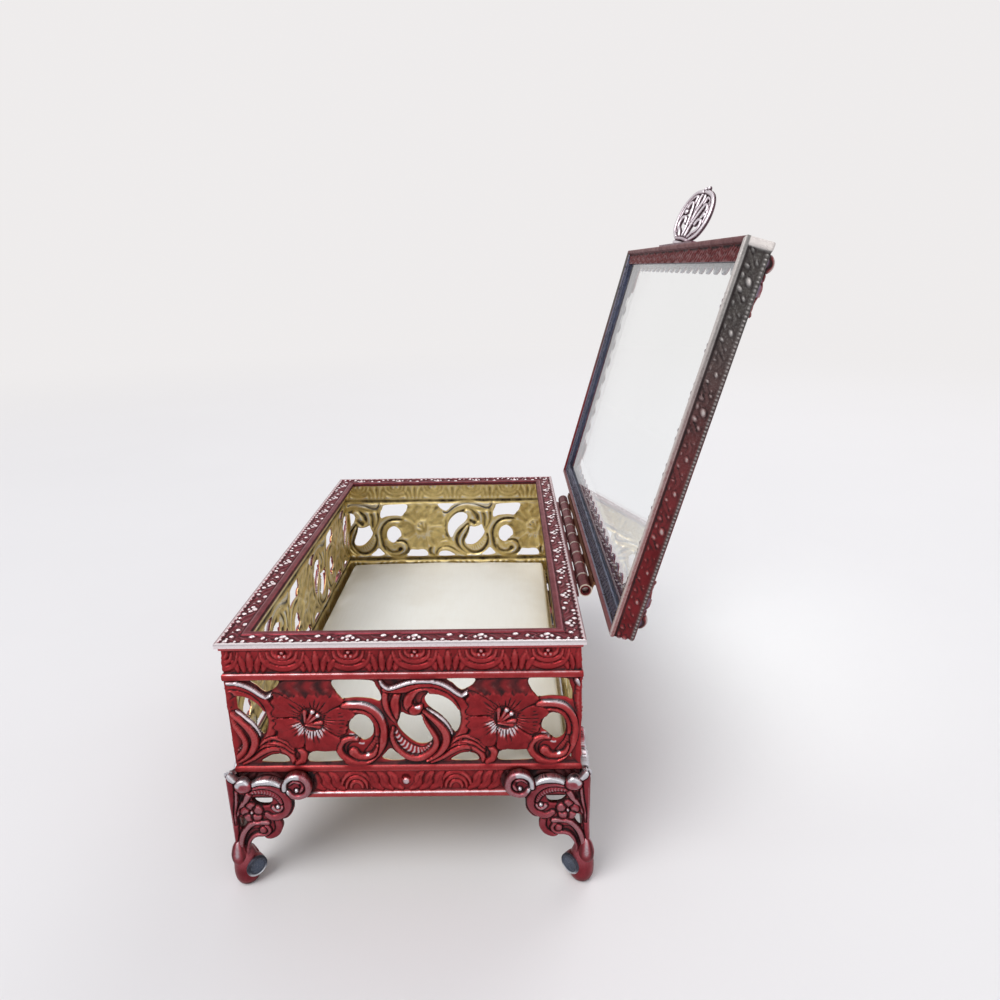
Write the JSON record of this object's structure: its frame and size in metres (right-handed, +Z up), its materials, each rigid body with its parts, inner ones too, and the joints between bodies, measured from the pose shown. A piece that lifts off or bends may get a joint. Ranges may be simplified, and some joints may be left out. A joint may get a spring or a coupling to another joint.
{
  "type": "hinged glass casket box",
  "caption": "Small footed casket box with pierced metal panels, a satin pad inside and a hinged lid of bevelled glass with a thumb lift.",
  "frame": {"origin": "on the floor, in the middle between the four feet", "axes": "+X along the length of the box, the thumb lift is on the side that faces -Y when the lid is shut, the hinge is on the side that faces +Y, +Z is up"},
  "size_m": [0.126, 0.1145, 0.1501],
  "materials": {
    "panel_metal": "antiqued red gold over brass, dark in the recesses",
    "rim_metal": "antiqued, dark with bright beads",
    "leg_metal": "antiqued red gold over brass, bright on the edges",
    "lid_metal": "antiqued dark brown",
    "hinge_metal": "worn satin",
    "tab_metal": "antiqued silver over brass",
    "base_metal": "plain satin",
    "pin_steel": "drawn wire",
    "lid_glass": "clear, bevelled on its upper edges",
    "satin": "cream satin over wadding",
    "card": "plain card"
  },
  "bodies": {
    "casket": {"panel_front": "panel_metal", "panel_right": "panel_metal", "panel_back": "panel_metal", "panel_left": "panel_metal", "rim_front": "rim_metal", "rim_right": "rim_metal", "rim_back": "rim_metal", "rim_left": "rim_metal", "base_plate": "base_metal", "lining_card": "card", "lining_pad": "satin", "leg_front_right": "leg_metal", "leg_front_left": "leg_metal", "leg_back_right": "leg_metal", "leg_back_left": "leg_metal", "hinge_leaf_body": "hinge_metal", "hinge_pin": "pin_steel"},
    "lid": {"hinge_leaf_lid": "hinge_metal", "lid_rail_front": "lid_metal", "lid_rail_right": "lid_metal", "lid_rail_back": "lid_metal", "lid_rail_left": "lid_metal", "lid_corner_front_right": "lid_metal", "lid_corner_front_left": "lid_metal", "lid_corner_back_right": "lid_metal", "lid_corner_back_left": "lid_metal", "lid_glass": "lid_glass", "tab_foot": "tab_metal", "thumb_tab": "tab_metal"}
  },
  "joints": [
    {"name": "lid_hinge", "type": "hinge", "parent": "casket", "child": "lid", "pos_m": [0, 0.0404, 0.0592], "axis": [1, 0, 0], "range_deg": [0, 105.4]}
  ]
}
